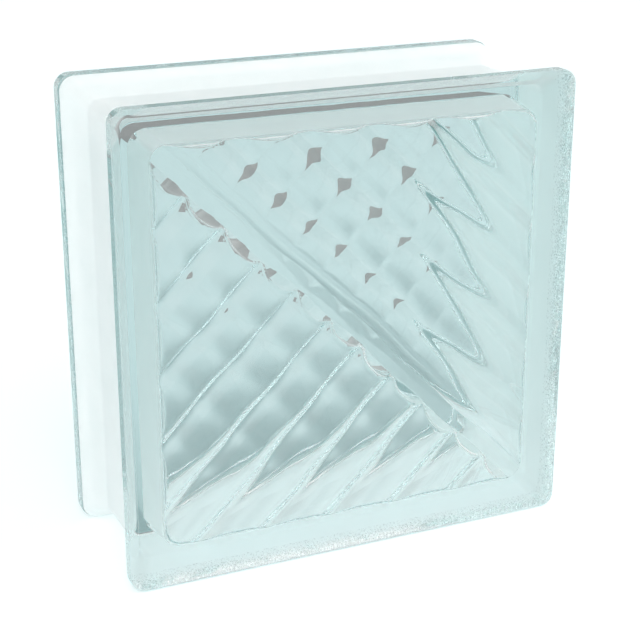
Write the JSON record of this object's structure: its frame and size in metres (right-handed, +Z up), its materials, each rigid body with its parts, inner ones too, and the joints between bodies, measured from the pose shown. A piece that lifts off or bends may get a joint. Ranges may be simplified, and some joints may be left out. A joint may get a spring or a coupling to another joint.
{
  "type": "glass block",
  "caption": "Square hollow glass block with fluted panes split by a diagonal band and a white coated edge channel, laid in mortar to make light-passing walls.",
  "frame": {"origin": "middle of the underside, at the height of the lips it stands on", "axes": "+X across the face, +Y through the block from the front pane to the rear one, +Z up"},
  "size_m": [0.19, 0.08, 0.19],
  "materials": {
    "glass": "clear pressed glass, pale aqua",
    "coating": "matt white sprayed coat"
  },
  "bodies": {
    "root": {"glass_body": "glass", "edge_coating": "coating"}
  },
  "joints": []
}
